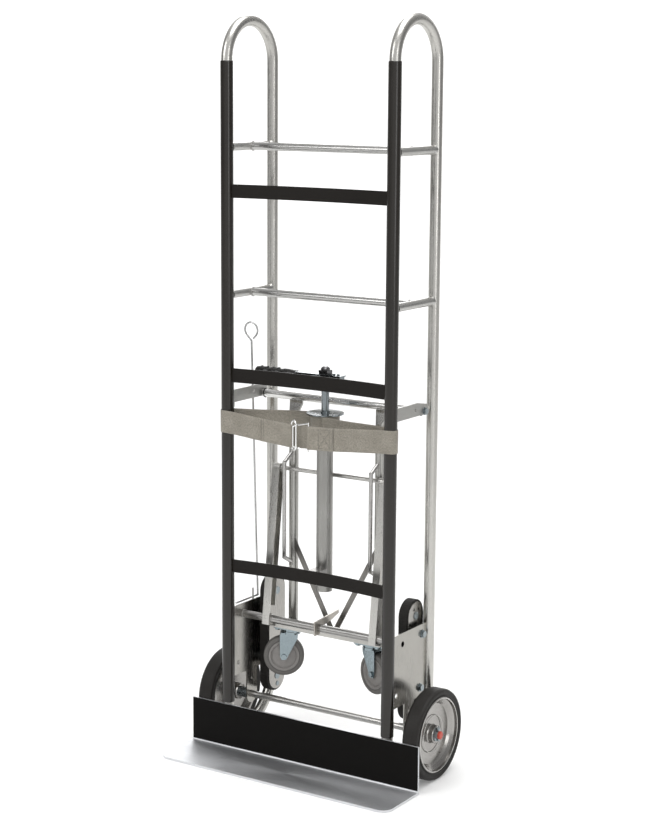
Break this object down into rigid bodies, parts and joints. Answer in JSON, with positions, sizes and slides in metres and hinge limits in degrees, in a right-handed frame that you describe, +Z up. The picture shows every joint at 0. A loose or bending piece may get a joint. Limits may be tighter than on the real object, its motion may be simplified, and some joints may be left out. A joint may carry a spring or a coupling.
{
  "type": "stair climbing trolley",
  "caption": "Upright stair climbing trolley with loop handles, toe plate, load strap on a ratchet winder, belt crawlers and a swing-out caster leg.",
  "frame": {"origin": "on the floor under the middle of the footprint", "axes": "+Z up, the toe plate points to -Y, +X to the right of a viewer who faces the toe plate side"},
  "size_m": [0.6096, 0.3412, 1.6697],
  "materials": {
    "rail_tube": "polished round tube",
    "sleeve": "black extruded sleeve",
    "band_paint": "satin black",
    "cross_tube": "satin drawn tube",
    "stub_tube": "satin drawn tube with weld beads",
    "bar_steel": "brushed flat bar",
    "toe_alloy": "brushed plate",
    "facing": "black felt facing",
    "side_alloy": "bright rolled plate",
    "pivot_steel": "satin tube",
    "gusset_steel": "flat plate",
    "axle_steel": "ground bar",
    "zinc": "bright zinc plated",
    "red_tip": "red dip",
    "winder_alloy": "satin tube",
    "bracket_steel": "satin",
    "webbing": "woven polyester strap",
    "buckle_chrome": "bright plated wire",
    "crawler_alloy": "bright sheet",
    "belt_rubber": "ribbed belt",
    "roller_plastic": "moulded",
    "handle_zinc": "bright zinc plated",
    "head_zinc": "dull zinc",
    "grip_rubber": "moulded grip",
    "leg_alloy": "satin tube",
    "guide_steel": "bent round rod",
    "strut_steel": "flat strip",
    "angle_steel": "angle bar",
    "brace_steel": "folded channel",
    "caster_zinc": "bluish zinc plated",
    "tread_rubber": "grey solid tread",
    "core_plastic": "grey moulded centre",
    "tyre_rubber": "solid black tyre",
    "hub_alloy": "dished polished disc",
    "rod_steel": "bent round rod"
  },
  "bodies": {
    "frame": {"rail_left": "rail_tube", "rail_right": "rail_tube", "sleeves": "sleeve", "band_top": "band_paint", "band_mid": "band_paint", "band_low": "band_paint", "crossbars": "cross_tube", "stubs": "stub_tube", "side_bars": "bar_steel", "toe_plate": "toe_alloy", "toe_facing": "facing", "side_plate_left": "side_alloy", "side_plate_right": "side_alloy", "pivot_tube": "pivot_steel", "gusset": "gusset_steel", "axle": "axle_steel", "axle_fittings": "zinc", "axle_caps": "red_tip", "winder_tube": "winder_alloy", "winder_mounts": "bracket_steel", "strap_left": "webbing", "strap_right": "webbing", "buckle_ring": "buckle_chrome", "buckle_hook": "buckle_chrome", "crawler_plates": "crawler_alloy", "belt_left": "belt_rubber", "belt_right": "belt_rubber", "crawler_bolts": "zinc", "rod_fittings": "bar_steel", "leg_bolts": "zinc"},
    "leg": {"leg_tube": "leg_alloy", "posts": "leg_alloy", "guides": "guide_steel", "struts": "strut_steel", "leg_bar": "angle_steel", "caster_plates": "caster_zinc"},
    "cross_rod": {"slide_rod": "axle_steel"},
    "brace_l": {"brace_left": "brace_steel"},
    "brace_r": {"brace_right": "brace_steel"},
    "fork_l": {"fork_left": "caster_zinc"},
    "fork_r": {"fork_right": "caster_zinc"},
    "caster_wheel_l": {"tread_left": "tread_rubber", "core_left": "core_plastic"},
    "caster_wheel_r": {"tread_right": "tread_rubber", "core_right": "core_plastic"},
    "wheel_l": {"tyre_left": "tyre_rubber", "hub_left": "hub_alloy"},
    "wheel_r": {"tyre_right": "tyre_rubber", "hub_right": "hub_alloy"},
    "spool": {"spindle": "handle_zinc", "webbing_coil": "webbing", "ratchet_gear": "zinc"},
    "ratchet_handle": {"handle_bar": "handle_zinc", "handle_head": "head_zinc", "handle_grip": "grip_rubber"},
    "release": {"release_rod": "rod_steel"},
    "roller_tl": {"roller_top_left": "roller_plastic"},
    "roller_ll": {"roller_low_left": "roller_plastic"},
    "roller_tr": {"roller_top_right": "roller_plastic"},
    "roller_lr": {"roller_low_right": "roller_plastic"}
  },
  "joints": [
    {"name": "leg_swing", "type": "hinge", "parent": "frame", "child": "leg", "pos_m": [0, 0.1171, 0.8155], "axis": [1, 0, 0], "range_deg": [0, 40.4]},
    {"name": "cross_rod_slide", "type": "slide", "parent": "leg", "child": "cross_rod", "axis": [0, 0, -1], "range_m": [0, 0.2005]},
    {"name": "brace_left_swing", "type": "hinge", "parent": "frame", "child": "brace_l", "pos_m": [0, 0.0371, 0.3055], "axis": [1, 0, 0], "range_deg": [-47.4, 0]},
    {"name": "brace_right_swing", "type": "hinge", "parent": "frame", "child": "brace_r", "pos_m": [0, 0.0371, 0.3055], "axis": [1, 0, 0], "range_deg": [-47.4, 0]},
    {"name": "wheel_left_spin", "type": "hinge", "parent": "frame", "child": "wheel_l", "pos_m": [-0.2765, 0.0681, 0.1025], "axis": [1, 0, 0], "continuous": true},
    {"name": "wheel_right_spin", "type": "hinge", "parent": "frame", "child": "wheel_r", "pos_m": [0.2765, 0.0681, 0.1025], "axis": [1, 0, 0], "continuous": true},
    {"name": "caster_left_swivel", "type": "hinge", "parent": "leg", "child": "fork_l", "pos_m": [-0.1095, 0.0811, 0.269], "axis": [0, 0, 1], "continuous": true},
    {"name": "caster_right_swivel", "type": "hinge", "parent": "leg", "child": "fork_r", "pos_m": [0.1095, 0.0811, 0.269], "axis": [0, 0, 1], "continuous": true},
    {"name": "caster_left_spin", "type": "hinge", "parent": "fork_l", "child": "caster_wheel_l", "pos_m": [-0.12418, 0.07157, 0.2125], "axis": [0.5446, -0.8387, 0], "continuous": true},
    {"name": "caster_right_spin", "type": "hinge", "parent": "fork_r", "child": "caster_wheel_r", "pos_m": [0.12605, 0.0754, 0.2125], "axis": [0.3256, 0.9455, 0], "continuous": true},
    {"name": "spool_spin", "type": "hinge", "parent": "frame", "child": "spool", "pos_m": [0, 0.0501, 0.77], "axis": [0, 0, 1], "continuous": true},
    {"name": "handle_ratchet", "type": "hinge", "parent": "frame", "child": "ratchet_handle", "pos_m": [0, 0.0501, 0.873], "axis": [0, 0, -1], "range_deg": [-8, 150]},
    {"name": "release_lift", "type": "slide", "parent": "frame", "child": "release", "axis": [0, -0.0396, 0.9992], "range_m": [0, 0.02]},
    {"name": "roller_top_left_spin", "type": "hinge", "parent": "frame", "child": "roller_tl", "pos_m": [-0.1885, 0.1175, 0.349], "axis": [1, 0, 0], "continuous": true},
    {"name": "roller_low_left_spin", "type": "hinge", "parent": "frame", "child": "roller_ll", "pos_m": [-0.1885, 0.1175, 0.142], "axis": [1, 0, 0], "continuous": true},
    {"name": "roller_top_right_spin", "type": "hinge", "parent": "frame", "child": "roller_tr", "pos_m": [0.1885, 0.1175, 0.349], "axis": [1, 0, 0], "continuous": true},
    {"name": "roller_low_right_spin", "type": "hinge", "parent": "frame", "child": "roller_lr", "pos_m": [0.1885, 0.1175, 0.142], "axis": [1, 0, 0], "continuous": true}
  ],
  "couplings": [
    {"joint": "cross_rod_slide", "follows": "leg_swing", "m_per_rad": 0.2837},
    {"joint": "brace_left_swing", "follows": "leg_swing", "ratio": -1.1651},
    {"joint": "brace_right_swing", "follows": "leg_swing", "ratio": -1.1651},
    {"joint": "roller_low_left_spin", "follows": "roller_top_left_spin", "ratio": 1},
    {"joint": "roller_low_right_spin", "follows": "roller_top_right_spin", "ratio": 1}
  ]
}
